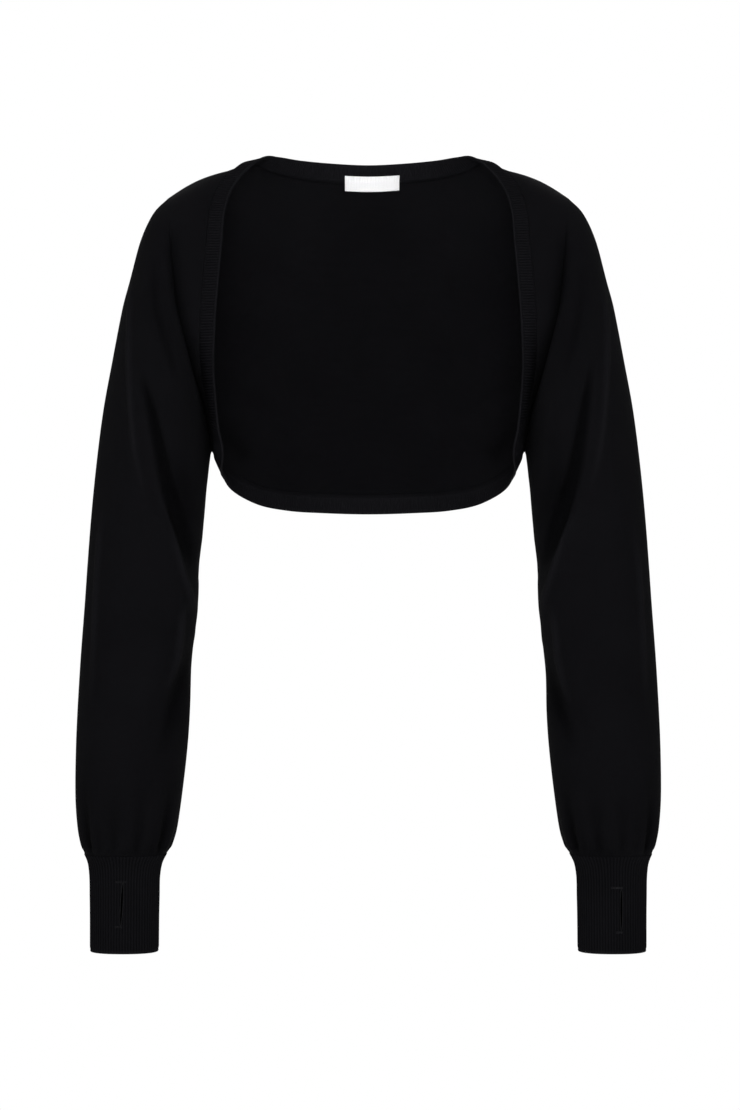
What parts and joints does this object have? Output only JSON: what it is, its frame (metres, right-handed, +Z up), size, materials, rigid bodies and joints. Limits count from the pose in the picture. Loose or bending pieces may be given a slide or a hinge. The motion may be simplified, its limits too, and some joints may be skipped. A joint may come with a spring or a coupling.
{
  "type": "knitted shrug",
  "caption": "Cropped open-front knitted shrug with long full sleeves, ribbed thumbhole cuffs and a ribbed band round the whole opening, in its worn hollow shape.",
  "frame": {"origin": "the middle between the two high points of the neck, at their height, where the wearer's shoulders carry the garment; it hangs below", "axes": "+Z up, front towards -Y, the wearer's left at +X"},
  "size_m": [0.5238, 0.1678, 0.7133],
  "materials": {
    "black_jersey": "matt fine jersey knit",
    "black_rib": "matt 1x1 rib knit",
    "white_woven_label": "smooth woven tape"
  },
  "bodies": {
    "root": {"back": "black_jersey", "front_left": "black_jersey", "front_right": "black_jersey", "sleeve_left": "black_jersey", "sleeve_right": "black_jersey", "cuff_left": "black_rib", "cuff_right": "black_rib", "opening_band": "black_rib", "neck_label": "white_woven_label"}
  },
  "joints": []
}
